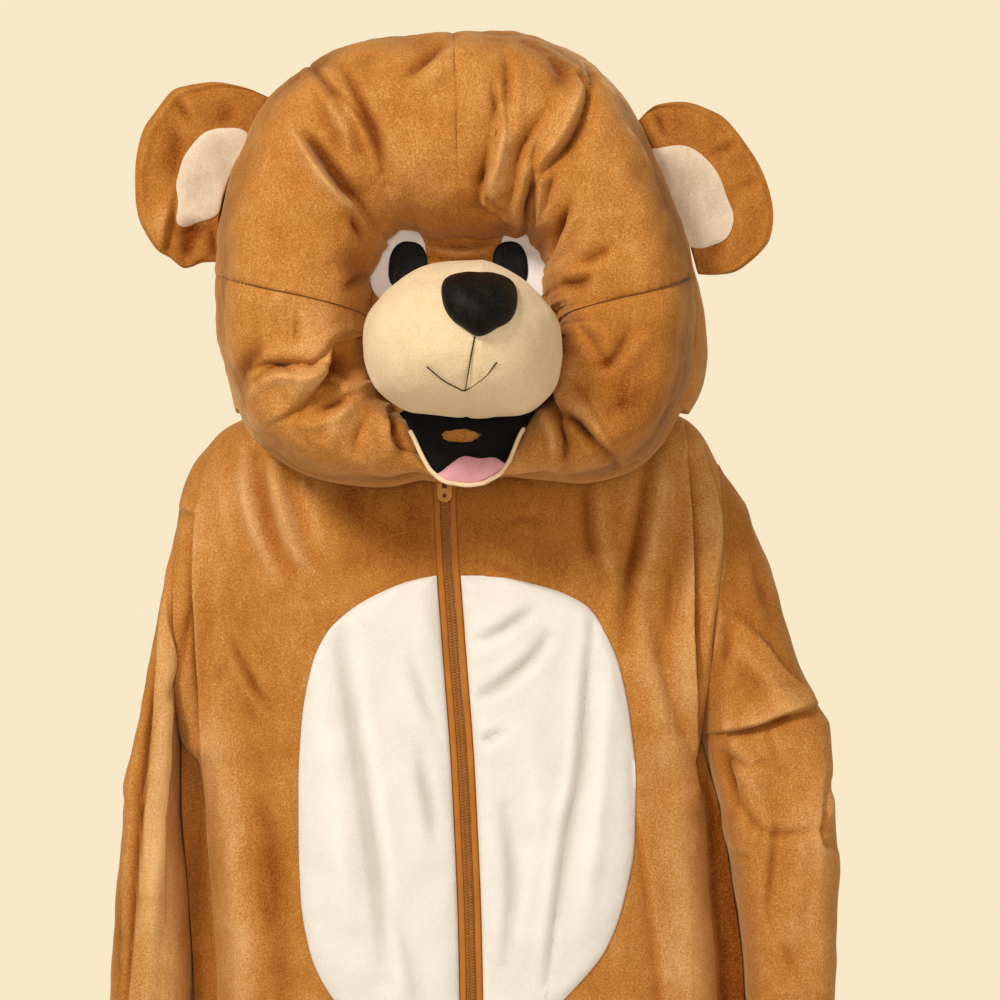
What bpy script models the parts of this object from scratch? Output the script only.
"""Bear mascot costume: a plush one-piece suit, open at neck, cuffs and hems, and a hollow stuffed bear head.

Frame: +Z up, the front faces -Y, and the origin is in the middle of the neck, where the costume is held up.
Sizes are in millimetres, and become metres as each mesh is made. A table's first line names its columns.
"""

import math

import bmesh
import bpy
import numpy as np

MM = 0.001
GAP = 0.3  # between neighbouring pieces
HALF_GAP = GAP / 2
CLOTH = 2.0  # plush and its backing
FELT = 1.2  # flat appliqué pieces
MERGE = 1e-6  # metres, for points that share one place

# ---------------------------------------------------------------- suit sizes
NECK_HALF = 92.0  # centre to the neck end of a shoulder seam
NECK_FRONT_Z = -12.0
NECK_BACK_Z = 38.0
SHOULDER_ROUND = 100.0  # height over which the shoulder closes to its seam
UNDERARM_Z = -275.0
ARMHOLE_OPEN = 0.8  # armhole's widest opening as a share of the body's depth
ARMHOLE_ROUND = 0.55  # power of its almond, lower is blunter
ZIP_END_Z = -655.0
CROTCH_Z = -830.0
HEM_Z = -1460.0
SIDE_ROUND = 2.6  # superellipse power of the body's section
LEG_ROUND = 0.8  # power of a leg's section, lower is squarer
TAPE_HALF = 10.0
CHAIN_HALF = 4.1
TAPE_THICK = 1.0
CHAIN_THICK = 2.4

TOP_LINE = """x z
-266 -61
-263 -44
-253 -20
-240 -4
-226 11
-208 21
-108 58
76 58
207 23
220 13
230 -1
241 -21"""

BODY = """z centre left right front back legs spread left_turn right_turn
-1460 14 -192 220 -28 68 1.0 34 1.0 1.0
-1250 14 -206 234 -32 74 1.0 24 1.0 1.0
-1000 14 -232 258 -38 82 1.0 12 1.0 1.0
-830 14 -246 270 -46 88 1.0 0.15 1.0 1.0
-760 13 -248 271 -50 90 0.45 0.15 1.0 0.985
-690 12 -248 268 -52 91 0.0 0.15 1.0 0.95
-655 11.5 -246 266 -52 91 0.0 10.3 0.985 0.93
-504 9.4 -252 263.5 -52 91 0.0 10.3 0.941 0.8945
-420 7.5 -257.5 253.5 -51 91 0.0 10.3 0.9385 0.9057
-340 4 -263.5 240 -50 90 0.0 10.3 0.933 0.942
-275 0.5 -264 224 -50 90 0.0 10.3 1.0 1.0
-177 -7 -262 230 -50 90 0.0 10.3 1.0 1.0
-60 -14.4 -266 241 -50 90 0.0 10.3 1.0 1.0
60 -16 -266 241 -50 90 0.0 10.3 1.0 1.0"""
SEAM_Y = 22.0  # side and shoulder seams
LEDGE = 3.2  # front cloth that lies against the side seam, outside where the front turns back
LEDGE_SHARE = 0.03  # turn over which it comes in

COLUMN_SHARES = (0.0, 0.16, 0.32, 0.48, 0.63, 0.76, 0.85, 0.91, 0.95, 1.0)
YOKE_SHARES = (0.0, 0.04, 0.15, 0.32, 0.52, 0.76, 1.0)
LOWER_LEVELS = (-340, -420, -504, -590, -655, -700, -750, -795, -830, -930, -1120, -1290, -1460)

CHEST_FOLDS = """x_top z_top x_end z_end half_width height
-197 -8 -170 -130 16 5
-166 -14 -144 -112 15 5
-231 -60 -226 -380 14 -6
184 0 160 -150 20 5
160 -150 158 -300 18 4
200 -300 212 -520 16 7
-150 -250 -140 -620 24 -4
120 -240 96 -640 26 -4
150 -560 170 -900 26 5
-120 -600 -130 -950 26 5"""

LEFT_SLEEVE = """z inner outer front back
-612 -255 -333 -24 70
-504 -255 -330.5 -32 74
-450 -257 -328 -36 76
-400 -260.5 -322.5 -40 78
-340 -265.5 -315 -42 79"""
RIGHT_SLEEVE = """z inner outer front back
-549 267 344 -28 70
-504 265.5 346 -34 73
-450 260.5 348 -40 76
-400 252 350 -44 78
-340 242 346 -47 79"""
LEFT_CAP = """z outer
-340 -315
-280 -305.5
-190 -291
-102 -274
-61 -266"""
RIGHT_CAP = """z outer
-340 346
-313 340
-287 343
-263 342
-244 332
-190 307.5
-113 282
-20 241"""
SLEEVE_COLUMNS = 14
SLEEVE_ROUND = 0.8  # power of a sleeve's section, lower is squarer
SLEEVE_LEVELS = 4  # rows of points between the cuff and the cap
CAP_SHARES = (0.0, 0.2, 0.38, 0.56, 0.78, 1.0)

BELLY = """x z
-24 -122
-62 -133
-92 -148
-113 -164
-128 -186
-138 -214
-144 -259
-147 -322
-147 -386
-143 -437
-135 -470
-118 -500
-92 -523
-55 -538
10 -545
62 -530
96 -500
130 -460
147 -415
157 -361
158 -310
153 -255
142 -202
130 -174
115 -151
90 -137
59 -128
19 -123"""

# ---------------------------------------------------------------- head sizes
HEAD_Z = 100.0  # height of the head's axis
SEAM_PLANE_Y = -72.0  # the seam round the head's outline
HEAD_BACK_Y = 102.0
HEAD_WALL = 10.0  # padded back of the head
OUTLINE = """angle radius
-90 142.5
-72 150
-52 178
-36 204
-24 213
-12 222
3 219
14 214.6
34 221
49 241
57 254
66 262
75 267
91 263
105 265
117 269.5
129 262
142.5 244
156 232
167 222
178.5 219
190 217.5
205 210.5
219 197
237 168
255 148
270 142.5"""
OPENING = """angle radius
-90 137
-79 137
-72 130
-63 112
-50 102
-36 99
-22 93
-7 87
3 83.5
15 78
34 88
50 93
58 84
75 66
88 63
103 67
123 92
131 93
148 84
169 77
190 81
204 86
222 92
240 94
253 112
261 131
270 137"""
CREST = """angle y
-90 -182
-50 -190
0 -205
50 -212
90 -218
130 -212
180 -205
230 -190
270 -182"""
OPENING_Y = -124.0  # where the face is sewn in
RING_STEPS = 8
RING_ROUND = 0.85  # power of the stuffed front's section, lower is fuller
RING_BACK = 0.45  # reach of the stuffing's back as a share of its front's
RING_EDGE = (20.0, 0.3)  # thickness at the outline seam, and its most as a share of the ring's width
DOME_COLUMNS = 14
DOME_STEPS = 5
DOME_ROUND = 0.8
DOME_BULGE = 0.9
CHEEK_RIGHT = (11.4, -1.0)  # angle of the cheek seam at the outline and at the face
CHEEK_LEFT = (168.5, 179.0)
CROWN = (91.5, 88.7)

FACE_COLUMNS = 24
FACE_START, FACE_END = -56.0, 236.0  # angles of the face cloth's lower corners
FACE_MIDDLE = (2.0, 52.0)
FACE_INSIDE = 1.5  # from the opening's edge
FACE_BEHIND = 2.0  # behind the opening's edge

MUZZLE_AT = (4.0, -205.0, 76.0)
MUZZLE_BACK_Y = -122.3
MUZZLE_TIP_Y = -303.0
MUZZLE_BACK_DEPTH = 110.0  # reach of the muzzle's round behind its widest section
MUZZLE_BLUNT = 0.95  # power of its length, lower is blunter
MUZZLE_ROUND = 0.9  # power of its width
MUZZLE = """angle radius
-90 62.5
-68 66.5
-45 80
-26 84
-9 82
8 80.5
25 74.5
44 69.8
63 65.9
90 63
125 67
152 74
175 80
190 80.6
210 80
226 75
255 63.5
270 62.5"""
NOSE_AT = (19.0, 97.0)
NOSE_THICK = 20.0
NOSE_EDGE = 2.0
NOSE_SEAT = 1.0  # off the muzzle
NOSE_ROUND = 2.4
NOSE_COLUMNS = 14
NOSE = """angle radius
-90 29
-60 26.5
-30 29
0 29.5
30 31
60 26.5
90 23
120 26
150 31
180 28
210 26.5
240 25.5
270 29"""

EYE_WHITES = """side x z half_width half_height tilt
-1 -53 149 24 34 -8
1 56 149 20 34 8"""
PUPILS = """side x z half_width half_height tilt
-1 -44 146 16.5 22 -6
1 44 147 15 21 6"""

MOUTH_Y = -158.0
MOUTH_TOP_Z = 17.0
MOUTH_START, MOUTH_END = 242.0, 298.0  # angles of the mouth's corners
MOUTH_HOLE = (2.0, 0.0, 16.0, 5.5)  # x, z, half width, half height
MOUTH_THICK = 1.5
MOUTH_COLUMNS = 16
BACKING_OVER = (7.0, 6.0)  # past the hole, beside it and above it
PIPING_FORWARD = 8.0  # off the mouth cloth
TONGUE_THICK = 2.4
TONGUE_REACH = 5.5
PIPING_RADIUS = 1.9
PIPING_CLEAR = 2.0
TONGUE = """x back_z front_z
-17 -22 -25
-5 -18 -34
9 -16 -37
25 -16 -33
35 -17 -22"""

EAR_THICK = 11.0
EAR_EDGE = 1.6
EAR_CUP = 16.0
EAR_FORWARD = 4.0  # in front of the outline seam
EAR_ROWS = 4
EAR_CLEAR = 1.0  # an ear's base stands this far off the head's faceted outline
LEFT_EAR = """x z
-167 301
-189 311
-212 314
-233 312
-252 305
-268 290
-278 270
-284 246
-284 222
-281 192
-268 168
-245 152
-228 150
-215 155"""
RIGHT_EAR = """x z
157 281
166 290
176 295
198 296
218 289
235 278
257 248
268 226
274 203
274 185
268 168
246 149
228 145
209 146"""
LEFT_EAR_PATCH = """x z
-180 262
-190 268
-202 271
-225 261
-242 242
-246 212
-248 188
-240 182
-223 184
-205 190
-190 230"""
RIGHT_EAR_PATCH = """x z
160 250
178 256
197 257
212 249
226 232
234 212
240 194
235 177
222 170
207 168
185 178
172 215"""

# ---------------------------------------------------------------- zip pull
SLIDER_Z = -31.0
PULL_AXIS = (-14.5, -58.6, -34.5)
PULL_WIDTH = 13.0
PULL_LENGTH = 22.5
PULL_THICK = 1.6
PULL_BEVEL = 1.5
PULL_TOP = 0.9  # above its pin
PULL_HOLE = 2.1
PULL_WINDOW = (4.4, 8.2)  # the opening that goes over the bridge
SLIDER_SIZE = (11.0, 3.0, 16.0)
BRIDGE_WIDTH = 3.0
BRIDGE_HEIGHT = 9.0
EYE_HEIGHT = 4.2

COLOURS = {
    "plush": (0.51, 0.205, 0.048, 0.9),
    "beige": (0.76, 0.55, 0.31, 0.9),
    "white": (0.86, 0.83, 0.76, 0.9),
    "black": (0.012, 0.011, 0.010, 0.75),
    "pink": (0.68, 0.30, 0.31, 0.85),
    "piping": (0.86, 0.63, 0.39, 0.8),
    "zip": (0.40, 0.15, 0.03, 0.55),
}


# ---------------------------------------------------------------- tables
class Table:
    """Rows of sizes under named columns, read between them along a smooth curve that doesn't overshoot."""

    def __init__(self, text):
        lines = text.splitlines()
        self.columns = lines[0].split()
        rows = [[float(v) for v in line.split()] for line in lines[1:]]
        self.rows = rows
        self.data = np.array(sorted(rows)).T

    def at(self, column, where):
        key = self.data[0]
        value = self.data[self.columns.index(column)]
        step = np.diff(key)
        secant = np.diff(value) / step
        slope = np.zeros(len(key))
        same = secant[:-1] * secant[1:] > 0
        mean = 2 * secant[:-1] * secant[1:] / np.where(same, secant[:-1] + secant[1:], 1.0)
        slope[1:-1] = np.where(same, mean, 0.0)
        where = np.clip(where, key[0], key[-1])
        k = np.clip(np.searchsorted(key, where, side="right") - 1, 0, len(step) - 1)
        t = (where - key[k]) / step[k]
        h00 = (1 + 2 * t) * (1 - t) ** 2
        h10 = t * (1 - t) ** 2
        h01 = t * t * (3 - 2 * t)
        h11 = t * t * (t - 1)
        curve = h00 * value[k] + h01 * value[k + 1]
        return curve + step[k] * (h10 * slope[k] + h11 * slope[k + 1])


def read_rows(text):
    """A table's rows in the order they are written, for outlines."""
    return [[float(v) for v in line.split()] for line in text.splitlines()[1:]]


def wrapped(angle):
    """An angle in degrees, brought to the -90 to 270 that the head's tables use."""
    return (angle + 90.0) % 360.0 - 90.0


# ---------------------------------------------------------------- meshes
def material(name):
    found = bpy.data.materials.get(name)
    if found:
        return found
    red, green, blue, rough = COLOURS[name]
    made = bpy.data.materials.new(name)
    made.use_nodes = True
    shader = made.node_tree.nodes["Principled BSDF"]
    shader.inputs["Base Color"].default_value = (red, green, blue, 1.0)
    shader.inputs["Roughness"].default_value = rough
    shader.inputs["Metallic"].default_value = 0.0
    return made


def solid(name, points, faces, finish):
    """One closed object from points in millimetres, its shared points merged, its faces turned outward."""
    shape = bmesh.new()
    corners = [shape.verts.new([c * MM for c in p]) for p in points]
    for face in faces:
        shape.faces.new([corners[k] for k in face])
    bmesh.ops.remove_doubles(shape, verts=shape.verts, dist=MERGE)
    bmesh.ops.triangulate(shape, faces=shape.faces)
    bmesh.ops.recalc_face_normals(shape, faces=shape.faces)
    mesh = bpy.data.meshes.new(name)
    shape.to_mesh(mesh)
    shape.free()
    made = bpy.data.objects.new(name, mesh)
    bpy.context.collection.objects.link(made)
    mesh.materials.append(material(finish))
    mesh.shade_smooth()
    mesh.set_sharp_from_angle(angle=math.radians(50))
    return made


def wall(name, outer, inner, finish, closed=False):
    """A wall between two grids of points, its edges closed; closed joins the last column to the first."""
    rows, columns = len(outer), len(outer[0])
    points = [p for row in outer for p in row] + [p for row in inner for p in row]
    under = rows * columns
    last = columns if closed else columns - 1
    faces = []
    for i in range(rows - 1):
        for j in range(last):
            a, b = i * columns + j, i * columns + (j + 1) % columns
            c, d = b + columns, a + columns
            faces += [(a, b, c), (a, c, d)]
            faces += [(under + c, under + b, under + a), (under + d, under + c, under + a)]
    for i in (0, rows - 1):
        if len(set(outer[i])) == 1:
            continue
        for j in range(last):
            a, b = i * columns + j, i * columns + (j + 1) % columns
            faces.append((a, b, under + b, under + a))
    if not closed:
        for j in (0, columns - 1):
            for i in range(rows - 1):
                a, b = i * columns + j, (i + 1) * columns + j
                faces.append((a, b, under + b, under + a))
    return solid(name, points, faces, finish)


def prism(name, outline, low_y, high_y):
    """An outline of x and z, run along Y as a cutter."""
    count = len(outline)
    points = [(x, low_y, z) for x, z in outline] + [(x, high_y, z) for x, z in outline]
    faces = [tuple(range(count)), tuple(range(2 * count - 1, count - 1, -1))]
    faces += [(k, (k + 1) % count, count + (k + 1) % count, count + k) for k in range(count)]
    cutter = solid(name, points, faces, "plush")
    cutter.hide_render = True
    cutter.display_type = "WIRE"
    return cutter


def cut(target, cutter, operation):
    step = target.modifiers.new(cutter.name, "BOOLEAN")
    step.object = cutter
    step.operation = operation
    step.solver = "EXACT"


def oval(x, z, half_width, half_height, tilt=0.0, count=20, power=2.0):
    """Points of a superellipse in x and z, leaned by tilt degrees."""
    lean = math.radians(tilt)
    points = []
    for k in range(count):
        turn = 2 * math.pi * k / count
        u = half_width * math.copysign(abs(math.cos(turn)) ** (2 / power), math.cos(turn))
        v = half_height * math.copysign(abs(math.sin(turn)) ** (2 / power), math.sin(turn))
        point_x = x + u * math.cos(lean) - v * math.sin(lean)
        point_z = z + u * math.sin(lean) + v * math.cos(lean)
        points.append((point_x, point_z))
    return points


def rounded(outline, passes=1):
    """A closed outline with each corner cut a quarter of the way along both its sides."""
    for _ in range(passes):
        following = outline[1:] + outline[:1]
        outline = [
            tuple(share * p + (1 - share) * q for p, q in zip(a, b))
            for a, b in zip(outline, following)
            for share in (0.75, 0.25)
        ]
    return outline


# ---------------------------------------------------------------- suit
top_line = Table(TOP_LINE)
body = Table(BODY)
folds = read_rows(CHEST_FOLDS)


def side_x(side, z):
    return body.at("left" if side < 0 else "right", z)


def fold_height(x, z):
    """How far the cloth stands forward at a place on the front, from the large soft folds."""
    total = 0.0
    for x_top, z_top, x_end, z_end, half_width, height in folds:
        run, fall = x_end - x_top, z_end - z_top
        length = math.hypot(run, fall)
        along = ((x - x_top) * run + (z - z_top) * fall) / length
        across = ((x - x_top) * fall - (z - z_top) * run) / length
        share = min(max(along / length, 0.0), 1.0)
        past = along - share * length
        fade = math.sin(math.pi * min(max(share, 0.08), 0.92)) ** 0.7
        total += height * fade * math.exp(-((across / half_width) ** 2) - (past / 40.0) ** 2)
    return total


def armhole_share(side, z):
    """Half the armhole's opening at a height, as a share of the body's depth."""
    top_z = float(top_line.at("z", side_x(side, 0.0)))
    share = (top_z - z) / (top_z - UNDERARM_Z)
    if not 0.0 < share < 1.0:
        return 0.0
    return ARMHOLE_OPEN * math.sin(math.pi * share) ** ARMHOLE_ROUND


def seam_depth(x, z):
    """How much of the body's depth is left near the shoulder seam, from 0 on the seam to 1."""
    below = (float(top_line.at("z", x)) - z) / SHOULDER_ROUND
    below = min(max(below, 0.0), 1.0)
    return math.sqrt(1 - (1 - below) ** 2)


def body_depth(facing, z):
    return float(body.at("front" if facing < 0 else "back", z)) - SEAM_Y


def body_point(side, facing, column, z, inset, top_z=None):
    """A point of the suit's body: side -1 left or 1 right, facing -1 front or 1 back, inset in the cloth."""
    share = COLUMN_SHARES[column]
    turn = column / (len(COLUMN_SHARES) - 1)
    centre = float(body.at("centre", z))
    legs = float(body.at("legs", z))
    spread = float(body.at("spread", z))
    if facing > 0 and spread > 1.0 and z > CROTCH_Z:
        spread = HALF_GAP
    hole = armhole_share(side, z)
    edge = float(side_x(side, z)) - side * inset * (1 - hole / ARMHOLE_OPEN)
    start = centre + side * spread
    leg_start = start + side * inset * legs
    turned = float(body.at("left_turn" if side < 0 else "right_turn", z)) if facing < 0 else 1.0
    ledge = LEDGE * min(1.0, (1 - turned) / LEDGE_SHARE)
    reach = (1 - hole**SIDE_ROUND) ** (1 / SIDE_ROUND) / turned
    torso_x = start + (edge - start) * share
    torso_half = (1 - min(share * reach, 1.0) ** SIDE_ROUND) ** (1 / SIDE_ROUND)
    leg_x = leg_start + (edge - leg_start) * (1 - math.cos(math.pi * turn)) / 2
    leg_half = math.sin(math.pi * turn) ** LEG_ROUND if 0 < turn < 1 else 0.0
    x = torso_x * (1 - legs) + leg_x * legs
    depth = abs(body_depth(facing, z)) - inset
    across = torso_half * (1 - legs) + leg_half * legs
    y = SEAM_Y + facing * (HALF_GAP + max(depth * across * seam_depth(x, z), ledge - inset, 0.0))
    if facing < 0:
        y -= fold_height(x, z) * min(1.0, across * seam_depth(x, z)) * 0.8
    return (x, y, z)


def neckline(x, centre, facing):
    """Height of the suit's top edge: the neckline between the neck points, and the shoulder line outside."""
    across = abs(x - centre) / NECK_HALF
    seam_z = float(top_line.at("z", x))
    if across >= 1.0:
        return seam_z
    low = NECK_FRONT_Z if facing < 0 else NECK_BACK_Z
    return low + (seam_z - low) * (1 - math.sqrt(1 - across**2))


def body_levels(side, facing, column, inset):
    """Heights of one column of points, from the top edge down to the hem."""
    centre = float(body.at("centre", 0.0))
    spread = float(body.at("spread", 0.0)) if facing < 0 else HALF_GAP
    edge = float(side_x(side, 0.0))
    start = centre + side * spread
    x = start + (edge - start) * COLUMN_SHARES[column]
    top = neckline(x, centre, facing)
    if abs(x - centre) >= NECK_HALF:
        top -= inset
    upper = [top + (UNDERARM_Z - top) * share for share in YOKE_SHARES]
    return upper + list(LOWER_LEVELS)


def body_grid(side, facing, inset):
    columns = range(len(COLUMN_SHARES))
    levels = [body_levels(side, facing, c, inset) for c in columns]
    rows = range(len(levels[0]))
    return [[body_point(side, facing, c, levels[c][r], inset) for c in columns] for r in rows]


def shifted(grid, dy):
    return [[(x, y + dy, z) for x, y, z in row] for row in grid]


def build_body():
    for side, hand in ((-1, "left"), (1, "right")):
        for facing, name in ((-1, "front"), (1, "back")):
            outer = body_grid(side, facing, 0.0)
            inner = body_grid(side, facing, CLOTH)
            wall(f"suit_{name}_{hand}", outer, inner, "plush")


def build_belly():
    """The belly patch in two halves, made from the front panels' own points moved out."""
    outline = [tuple(row) for row in read_rows(BELLY)]
    first, last = 2, len(YOKE_SHARES) + 4
    for side, hand in ((-1, "left"), (1, "right")):
        under = [row[:-1] for row in body_grid(side, -1, 0.0)[first:last]]
        patch = wall(f"belly_{hand}", shifted(under, -GAP - FELT), shifted(under, -GAP), "white")
        cut(patch, prism(f"cutter_belly_{hand}", outline, -120, 0), "INTERSECT")


def centre_front(z):
    """The middle of the front and its surface, where the zip lies."""
    x = float(body.at("centre", z))
    y = SEAM_Y - HALF_GAP + body_depth(-1, z) * seam_depth(x, z)
    return x, y


def zip_levels():
    levels = body_levels(-1, -1, 0, 0.0)
    return [z for z in levels if z >= ZIP_END_Z]


def strip(name, levels, start, end, front, back, finish):
    """A flat band down the zip's line, between two distances from its middle and two from its surface."""
    outer, inner = [], []
    for z in levels:
        x, y = centre_front(z)
        outer.append([(x + start, y + front, z), (x + end, y + front, z)])
        inner.append([(x + start, y + back, z), (x + end, y + back, z)])
    return wall(name, outer, inner, finish)


def build_zip():
    levels = zip_levels()
    chain_levels = [SLIDER_Z - 9.0] + [z for z in levels if z < SLIDER_Z - 20.0]
    inside = CHAIN_HALF + GAP
    strip("zip_tape_left", levels, -TAPE_HALF, -inside, 0.2, 0.2 + TAPE_THICK, "zip")
    strip("zip_tape_right", levels, inside, TAPE_HALF, 0.2, 0.2 + TAPE_THICK, "zip")
    strip("zip_chain", chain_levels, -CHAIN_HALF, CHAIN_HALF, -CHAIN_THICK / 2, CHAIN_THICK / 2, "zip")


def box(name, centre, size, finish="zip"):
    (cx, cy, cz), (sx, sy, sz) = centre, size
    outer = [[(cx + u * sx / 2, cy - sy / 2, cz + v * sz / 2) for u in (-1, 1)] for v in (1, -1)]
    inner = [[(x, y + sy, z) for x, y, z in row] for row in outer]
    return wall(name, outer, inner, finish)


def as_cutter(shape):
    shape.hide_render = True
    shape.display_type = "WIRE"
    return shape


def build_slider_and_pull():
    """The slider with its bridge, and the tab that swings on the bridge about a pin across the zip."""
    axis_x, axis_y, axis_z = PULL_AXIS
    surface = centre_front(SLIDER_Z)[1] - CHAIN_THICK / 2
    thick = SLIDER_SIZE[1]
    slider = box("zip_slider", (axis_x, surface - GAP - thick / 2, SLIDER_Z), SLIDER_SIZE)
    front = surface - GAP - thick
    tip, root = axis_y - BRIDGE_WIDTH, front + 0.8
    bridge_size = (BRIDGE_WIDTH, root - tip, BRIDGE_HEIGHT)
    bridge = box("join_bridge", (axis_x, (tip + root) / 2, axis_z), bridge_size)
    cut(slider, as_cutter(bridge), "UNION")
    eye_low, eye_high = axis_y - PULL_THICK, front - 0.5
    eye_size = (SLIDER_SIZE[0], eye_high - eye_low, EYE_HEIGHT)
    eye = box("cutter_eye", (axis_x, (eye_low + eye_high) / 2, axis_z), eye_size)
    cut(slider, as_cutter(eye), "DIFFERENCE")

    radius = PULL_WIDTH / 2
    tip_z = axis_z + PULL_TOP - PULL_LENGTH
    outline = [(-radius + PULL_BEVEL, PULL_TOP), (radius - PULL_BEVEL, PULL_TOP), (radius, -1.0)]
    for k in range(13):
        turn = -math.pi * k / 12
        outline.append((radius * math.cos(turn), tip_z - axis_z + radius + radius * math.sin(turn)))
    outline.append((-radius, -1.0))
    points = [(x, y, z) for y in (-PULL_THICK / 2, PULL_THICK / 2) for x, z in outline]
    count = len(outline)
    faces = [tuple(range(count)), tuple(range(2 * count - 1, count - 1, -1))]
    faces += [(k, (k + 1) % count, count + (k + 1) % count, count + k) for k in range(count)]
    pull = solid("zip_pull", points, faces, "zip")
    pull.location = [c * MM for c in PULL_AXIS]
    window_middle = (axis_x, axis_y, axis_z - 0.8 - PULL_WINDOW[1] / 2)
    window = box("cutter_window", window_middle, (PULL_WINDOW[0], 6.0, PULL_WINDOW[1]))
    cut(pull, as_cutter(window), "DIFFERENCE")
    hole_z = tip_z + radius
    ring = oval(axis_x, hole_z - 0.5, PULL_HOLE, PULL_HOLE, count=16)
    hole = prism("cutter_pull_hole", ring, axis_y - 5, axis_y + 5)
    cut(pull, hole, "DIFFERENCE")


def sleeve_ring(table, z, turn, inset):
    """A point of the sleeve's section: turn 0 is next to the body, 0.25 the front, 0.5 the outer edge."""
    inner, outer = float(table.at("inner", z)), float(table.at("outer", z))
    front, back = float(table.at("front", z)), float(table.at("back", z))
    angle = 2 * math.pi * turn
    cos, sin = math.cos(angle), math.sin(angle)
    half_x = abs(outer - inner) / 2 - inset
    half_y = (back - front) / 2 - inset
    toward_body = 1 if outer < inner else -1
    x = (inner + outer) / 2 + toward_body * half_x * math.copysign(abs(cos) ** SLEEVE_ROUND, cos)
    y = (front + back) / 2 - half_y * math.copysign(abs(sin) ** SLEEVE_ROUND, sin)
    return x, y, z


def armhole_point(side, turn, inset):
    """A point of the armhole's edge, in the body's own armhole and one gap outside it."""
    top_z = float(top_line.at("z", side_x(side, 0.0))) - inset
    low_z = UNDERARM_Z + inset
    z = (top_z + low_z) / 2 - (top_z - low_z) / 2 * math.cos(2 * math.pi * turn)
    facing = -1 if turn < 0.5 else 1
    hole = armhole_share(side, z)
    x = float(side_x(side, z))
    depth = max(abs(body_depth(facing, z)) - inset / ARMHOLE_OPEN, 0.0)
    y = SEAM_Y + facing * depth * hole * seam_depth(x, z)
    return x + side * GAP, y, z


def sleeve_grid(side, table, cap, inset):
    turns = [k / SLEEVE_COLUMNS for k in range(SLEEVE_COLUMNS)]
    start_z = float(max(row[0] for row in table.rows))
    cuff_z = float(min(row[0] for row in table.rows))
    lower = [cuff_z + (start_z - cuff_z) * k / SLEEVE_LEVELS for k in range(SLEEVE_LEVELS)]
    grid = [[sleeve_ring(table, z, t, inset) for t in turns] for z in lower]
    for share in CAP_SHARES:
        row = []
        for t in turns:
            low = np.array(sleeve_ring(table, start_z, t, inset))
            top = np.array(armhole_point(side, t, inset))
            point = low * (1 - share) + top * share
            outward = max(0.0, -math.cos(2 * math.pi * t))
            straight = low[0] * (1 - share) + top[0] * share
            wanted = float(cap.at("outer", point[2])) - side * inset
            point[0] += (wanted - straight) * outward * min(1.0, 4 * share * (1 - share))
            row.append(tuple(point))
        grid.append(row)
    return grid


def build_sleeves():
    for side, hand, table, cap in (
        (-1, "left", Table(LEFT_SLEEVE), Table(LEFT_CAP)),
        (1, "right", Table(RIGHT_SLEEVE), Table(RIGHT_CAP)),
    ):
        outer = sleeve_grid(side, table, cap, 0.0)
        inner = sleeve_grid(side, table, cap, CLOTH)
        wall(f"sleeve_{hand}", outer, inner, "plush", closed=True)


# ---------------------------------------------------------------- head
outline_table = Table(OUTLINE)
opening_table = Table(OPENING)
crest_table = Table(CREST)


def polar(angle, radius, y):
    turn = math.radians(angle)
    return (radius * math.cos(turn), y, HEAD_Z + radius * math.sin(turn))


def ring_profile(angle, step, thin):
    """Radius and y across the stuffed front, from the outline seam (step 0) to the face (step 1).
    thin 0 is the plush front and thin 1 is the back of the stuffing."""
    a = wrapped(angle)
    outer = float(outline_table.at("radius", a))
    inner = float(opening_table.at("radius", a))
    crest = float(crest_table.at("y", a))
    edge = min(RING_EDGE[0], RING_EDGE[1] * (outer - inner)) * thin
    outer, inner = outer - edge, inner + 0.4 * edge
    middle, half = (outer + inner) / 2, (outer - inner) / 2
    turn = math.pi * step
    cos, sin = math.cos(turn), math.sin(turn)
    radius = middle + half * math.copysign(abs(cos) ** RING_ROUND, cos)
    base = SEAM_PLANE_Y if cos > 0 else OPENING_Y
    rise = abs(sin) ** RING_ROUND
    front = base + (crest - base) * rise
    back_base = SEAM_PLANE_Y + (OPENING_Y - SEAM_PLANE_Y) * (step**1.4)
    back = back_base + RING_BACK * (crest - back_base) * rise
    return radius, front * (1 - thin) + back * thin


def ring_panel(name, start, end, columns):
    """One panel of the stuffed front between two seams, each with its angles at the outline and the face."""
    grids = []
    for thin in (0.0, 1.0):
        grid = []
        for i in range(RING_STEPS + 1):
            step = i / RING_STEPS
            first = start[0] + (start[1] - start[0]) * step
            last = end[0] + (end[1] - end[0]) * step
            row = []
            for j in range(columns + 1):
                angle = first + (last - first) * j / columns
                radius, y = ring_profile(angle, step, thin)
                if j in (0, columns):
                    nudge = math.degrees(HALF_GAP / radius)
                    angle += nudge if j == 0 else -nudge
                row.append(polar(angle, radius, y))
            grid.append(row)
        grids.append(grid)
    return wall(name, grids[0], grids[1], "plush")


def build_head_front():
    ring_panel("head_front_upper_right", CHEEK_RIGHT, CROWN, 8)
    ring_panel("head_front_upper_left", CROWN, CHEEK_LEFT, 8)
    around = (CHEEK_RIGHT[0] + 360.0, CHEEK_RIGHT[1] + 360.0)
    ring_panel("head_front_lower", CHEEK_LEFT, around, 24)


def dome_point(angle, step, inset, side):
    turn = math.pi / 2 * step
    radius = float(outline_table.at("radius", wrapped(angle))) - inset
    radius *= max(math.cos(turn), 0.0) ** DOME_ROUND if step < 1 else 0.0
    depth = (HEAD_BACK_Y - SEAM_PLANE_Y - inset) * math.sin(turn) ** DOME_BULGE
    x, _, z = polar(angle, radius, 0)
    return (x + side * HALF_GAP, SEAM_PLANE_Y + GAP + depth, z)


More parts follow.
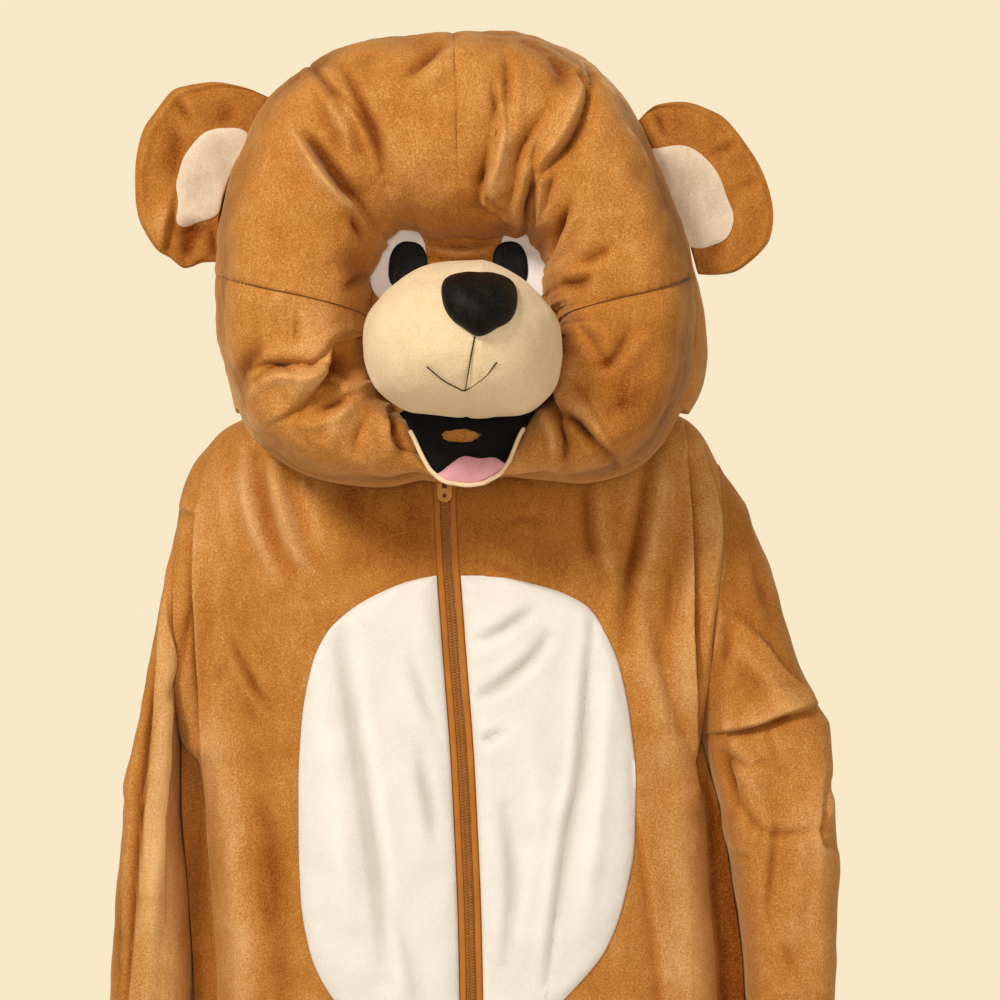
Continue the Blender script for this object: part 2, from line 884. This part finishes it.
def shoulder_cutter():
    """Everything below the shoulders and behind the chest, which the back of the head must stay clear of."""
    line = [(x, z + GAP) for x, z in read_rows(TOP_LINE)]
    outline = [(-400, -400), (-400, line[0][1] - 60)] + [(line[0][0] - 40, line[0][1] - 60)]
    outline += line + [(line[-1][0] + 40, line[-1][1] - 60), (400, line[-1][1] - 60), (400, -400)]
    return prism("cutter_shoulders", outline, -62.0, 300.0)


def build_head_back():
    cutter = shoulder_cutter()
    for side, hand in ((1, "right"), (-1, "left")):
        angles = [90.0 - side * 180.0 * k / DOME_COLUMNS for k in range(DOME_COLUMNS + 1)]
        grids = []
        for inset in (0.0, HEAD_WALL):
            rows = range(DOME_STEPS + 1)
            grids.append([[dome_point(a, i / DOME_STEPS, inset, side) for a in angles] for i in rows])
        for grid in grids:
            for row in grid:
                for k in (0, len(row) - 1):
                    row[k] = (side * HALF_GAP, row[k][1], row[k][2])
        panel = wall(f"head_back_{hand}", grids[0], grids[1], "plush")
        cut(panel, cutter, "DIFFERENCE")


def face_grid(y_shift):
    """The cloth across the face opening, above the mouth, as rows out from a middle point."""
    middle_x, middle_z = FACE_MIDDLE
    y = OPENING_Y + FACE_BEHIND + y_shift
    rows = []
    for share in (0.0, 0.5, 1.0):
        row = []
        for k in range(FACE_COLUMNS + 1):
            angle = FACE_START + (FACE_END - FACE_START) * k / FACE_COLUMNS
            radius = float(opening_table.at("radius", wrapped(angle))) - FACE_INSIDE
            x, _, z = polar(angle, radius, 0)
            row.append((x * share + middle_x * (1 - share), y, z * share + middle_z * (1 - share)))
        rows.append(row)
    return rows


def build_face():
    wall("face_panel", face_grid(0.0), face_grid(CLOTH), "plush")
    for table, name, lift, finish in ((EYE_WHITES, "eye_white", 0, "white"), (PUPILS, "pupil", 1, "black")):
        for side, x, z, half_width, half_height, tilt in read_rows(table):
            hand = "left" if side < 0 else "right"
            outline = oval(x, z, half_width, half_height, tilt, power=2.3)
            back_y = OPENING_Y + FACE_BEHIND - GAP - lift * (FELT + GAP)
            back_ring = [[(px, back_y, pz) for px, pz in outline], [(x, back_y, z)] * len(outline)]
            front_ring = [[(px, y - FELT, pz) for px, y, pz in row] for row in back_ring]
            wall(f"{name}_{hand}", front_ring, back_ring, finish, closed=True)


muzzle_table = Table(MUZZLE)


def muzzle_point(angle, step, grow=0.0):
    """A point of the muzzle, from its back edge (step 0) to its tip (step 1)."""
    at_x, at_y, at_z = MUZZLE_AT
    low = -math.asin(((MUZZLE_BACK_Y - at_y) / MUZZLE_BACK_DEPTH) ** (1 / MUZZLE_BLUNT))
    turn = low + (math.pi / 2 - low) * step
    radius = float(muzzle_table.at("radius", wrapped(angle))) + grow
    reach = radius * max(math.cos(turn), 0.0) ** MUZZLE_ROUND if step < 1 else 0.0
    depth = (at_y - MUZZLE_TIP_Y + grow) if turn > 0 else MUZZLE_BACK_DEPTH
    y = at_y - depth * math.copysign(abs(math.sin(turn)) ** MUZZLE_BLUNT, math.sin(turn))
    a = math.radians(angle)
    return (at_x + reach * math.cos(a), y, at_z + reach * math.sin(a))


def build_muzzle():
    """The stuffed muzzle in two halves, left and right of its centre seam."""
    for side, hand in ((1, "right"), (-1, "left")):
        angles = [90.0 - side * 180.0 * k / 10 for k in range(11)]
        front = [[muzzle_point(a, i / 7) for a in angles] for i in range(8)]
        for row in front:
            for k in (0, len(row) - 1):
                row[k] = (MUZZLE_AT[0], row[k][1], row[k][2])
        front = [[(x + side * HALF_GAP, y, z) for x, y, z in row] for row in front]
        middle = (MUZZLE_AT[0] + side * HALF_GAP, MUZZLE_BACK_Y, MUZZLE_AT[2])
        back_edge = [(x, MUZZLE_BACK_Y, z) for x, y, z in front[0]]
        skin_and_back = [[middle] * len(angles), back_edge] + front
        rows, columns = len(skin_and_back), len(angles)
        points = [p for row in skin_and_back for p in row]
        faces = []
        for i in range(rows - 1):
            for j in range(columns - 1):
                a, b = i * columns + j, i * columns + j + 1
                faces.append((a, b, b + columns, a + columns))
        down = [i * columns for i in range(rows)]
        up = [i * columns + columns - 1 for i in range(rows - 2, 0, -1)]
        faces.append(tuple(down + up))
        solid(f"muzzle_{hand}", points, faces, "beige")


def on_muzzle(x, z, grow):
    """The muzzle's front surface over a place in x and z, found along its own section."""
    at_x, at_y, at_z = MUZZLE_AT
    angle = math.degrees(math.atan2(z - at_z, x - at_x))
    radius = float(muzzle_table.at("radius", wrapped(angle))) + grow
    share = min(math.hypot(x - at_x, z - at_z) / radius, 0.98)
    turn = math.acos(share ** (1 / MUZZLE_ROUND))
    return at_y - (at_y - MUZZLE_TIP_Y + grow) * math.sin(turn) ** MUZZLE_BLUNT


def build_nose():
    table = Table(NOSE)
    at_x, at_z = NOSE_AT
    front, back = [], []
    for share in (0.0, 0.45, 0.8, 0.95, 1.0):
        front_row, back_row = [], []
        for k in range(NOSE_COLUMNS):
            angle = -90.0 + 360.0 * k / NOSE_COLUMNS
            radius = float(table.at("radius", angle)) * share
            x = at_x + radius * math.cos(math.radians(angle))
            z = at_z + radius * math.sin(math.radians(angle))
            seat = on_muzzle(x, z, NOSE_SEAT)
            lift = NOSE_EDGE + (NOSE_THICK - NOSE_EDGE) * math.sqrt(max(1 - share**NOSE_ROUND, 0.0))
            front_row.append((x, seat - lift, z))
            back_row.append((x, seat, z))
        front.append(front_row)
        back.append(back_row)
    wall("nose", front, back, "black", closed=True)


def mouth_edge(angle, inset):
    radius = float(opening_table.at("radius", wrapped(angle))) - inset
    x, _, z = polar(angle, radius, 0)
    return x, z


def plate(name, outline, front_y, thick, finish):
    """A flat piece of an outline in x and z, facing front."""
    count = len(outline)
    points = [(x, front_y, z) for x, z in outline] + [(x, front_y + thick, z) for x, z in outline]
    faces = [tuple(range(count)), tuple(range(2 * count - 1, count - 1, -1))]
    faces += [(k, (k + 1) % count, count + (k + 1) % count, count + k) for k in range(count)]
    return solid(name, points, faces, finish)


def tube(name, path, radius, finish, sides=6):
    """A round tube along points, with flat ends."""
    path = [np.array(p) for p in path]
    outer = []
    for k, point in enumerate(path):
        ahead = path[min(k + 1, len(path) - 1)] - path[max(k - 1, 0)]
        ahead /= np.linalg.norm(ahead)
        across = np.cross(ahead, (0.0, 1.0, 0.0))
        across /= np.linalg.norm(across)
        lift = np.cross(across, ahead)
        ring = []
        for s in range(sides):
            turn = 2 * math.pi * s / sides
            ring.append(tuple(point + radius * (math.cos(turn) * across + math.sin(turn) * lift)))
        outer.append(ring)
    rows = [[tuple(path[0])] * sides] + outer + [[tuple(path[-1])] * sides]
    points = [p for row in rows for p in row]
    faces = []
    for i in range(len(rows) - 1):
        for j in range(sides):
            a, b = i * sides + j, i * sides + (j + 1) % sides
            faces.append((a, b, b + sides, a + sides))
    return solid(name, points, faces, finish)


def build_mouth():
    """The black cloth across the mouth with its hole, the cloth behind it, the lip piping and the tongue."""
    span = MOUTH_END - MOUTH_START
    angles = [MOUTH_START + span * k / MOUTH_COLUMNS for k in range(MOUTH_COLUMNS + 1)]
    lower = [mouth_edge(a, PIPING_CLEAR) for a in angles]
    outline = [(lower[0][0] - 1.0, MOUTH_TOP_Z)] + lower + [(lower[-1][0] + 1.0, MOUTH_TOP_Z)]
    panel = plate("mouth_cloth", outline, MOUTH_Y, MOUTH_THICK, "black")
    x, z, half_width, half_height = MOUTH_HOLE
    hole = prism("cutter_mouth_hole", oval(x, z, half_width, half_height), MOUTH_Y - 9, MOUTH_Y + 9)
    cut(panel, hole, "DIFFERENCE")
    behind = oval(x, z, half_width + BACKING_OVER[0], half_height + BACKING_OVER[1], power=3.0)
    plate("mouth_backing", behind, MOUTH_Y + MOUTH_THICK + GAP, CLOTH, "plush")
    piping = []
    for angle in angles:
        px, pz = mouth_edge(angle, PIPING_RADIUS + PIPING_CLEAR)
        piping.append((px, MOUTH_Y - PIPING_FORWARD, pz))
    tube("lip_piping", piping, PIPING_RADIUS, "piping")
    outer, inner = [], []
    for px, back_z, front_z in read_rows(TONGUE):
        back_y, front_y = MOUTH_Y - GAP, MOUTH_Y - TONGUE_REACH
        line = [(px, back_y, back_z), (px, (back_y + front_y) / 2 - 1.5, (back_z + front_z) / 2 + 2.0)]
        line.append((px, front_y, front_z + TONGUE_THICK))
        outer.append(line)
        inner.append([(x, y, z - TONGUE_THICK) for x, y, z in line])
    wall("tongue", outer, inner, "pink")


def head_angle(x, z):
    return math.degrees(math.atan2(z - HEAD_Z, x)) % 360.0


def clear_of_head(x, z):
    """The place itself, or the nearest one that stands clear of the head's outline."""
    angle = head_angle(x, z)
    radius = max(math.hypot(x, z - HEAD_Z), float(outline_table.at("radius", wrapped(angle))) + EAR_CLEAR)
    px, _, pz = polar(angle, radius, 0)
    return px, pz


def ear_grids(outline):
    """Ear points as rows from the head's outline outward: its middle surface and half its thickness."""
    tip = [clear_of_head(x, z) for x, z in outline]
    start, end = head_angle(*tip[0]), head_angle(*tip[-1])
    grid, halves = [], []
    for i in range(EAR_ROWS + 1):
        out = i / EAR_ROWS
        line, half_line = [], []
        for k, point in enumerate(tip):
            along = k / (len(tip) - 1)
            angle = start + (end - start) * along
            radius = float(outline_table.at("radius", wrapped(angle))) + EAR_CLEAR
            base_x, _, base_z = polar(angle, radius, 0)
            x = base_x + (point[0] - base_x) * out
            z = base_z + (point[1] - base_z) * out
            arch = max(math.sin(math.pi * along), 0.0)
            y = SEAM_PLANE_Y - EAR_FORWARD - EAR_CUP * arch**0.8 * out * out
            swell = arch**0.5 * math.cos(math.pi / 2 * out**1.6)
            line.append((x, y, z))
            fill = 0.45 + 0.55 * math.sin(math.pi * min(out + 0.2, 0.5))
            half_line.append(EAR_EDGE + EAR_THICK * swell * fill)
        grid.append(line)
        halves.append(half_line)
    return grid, halves


def offset_y(grid, halves, sign, extra):
    moved = []
    for line, half_line in zip(grid, halves):
        moved.append([(x, y + sign * (half + extra), z) for (x, y, z), half in zip(line, half_line)])
    return moved


def build_ears():
    tables = (("left", LEFT_EAR, LEFT_EAR_PATCH), ("right", RIGHT_EAR, RIGHT_EAR_PATCH))
    for hand, table, patch_table in tables:
        outline = [tuple(row) for row in read_rows(table)]
        grid, halves = ear_grids(outline)
        flat = [[0.0] * len(line) for line in grid]
        middle_front = offset_y(grid, flat, -1, HALF_GAP)
        middle_back = offset_y(grid, flat, 1, HALF_GAP)
        wall(f"ear_{hand}_front", offset_y(grid, halves, -1, 0.0), middle_front, "plush")
        wall(f"ear_{hand}_back", offset_y(grid, halves, 1, 0.0), middle_back, "plush")
        near = [line[1:-1] for line in grid]
        near_halves = [line[1:-1] for line in halves]
        patch = wall(
            f"ear_{hand}_patch",
            offset_y(near, near_halves, -1, GAP + FELT),
            offset_y(near, near_halves, -1, GAP),
            "beige",
        )
        edge = rounded([tuple(row) for row in read_rows(patch_table)])
        cut(patch, prism(f"cutter_ear_{hand}", edge, -160, 0), "INTERSECT")


def main():
    for old in list(bpy.data.objects):
        bpy.data.objects.remove(old, do_unlink=True)
    build_body()
    build_belly()
    build_zip()
    build_slider_and_pull()
    build_sleeves()
    build_head_front()
    build_head_back()
    build_face()
    build_muzzle()
    build_nose()
    build_mouth()
    build_ears()


main()
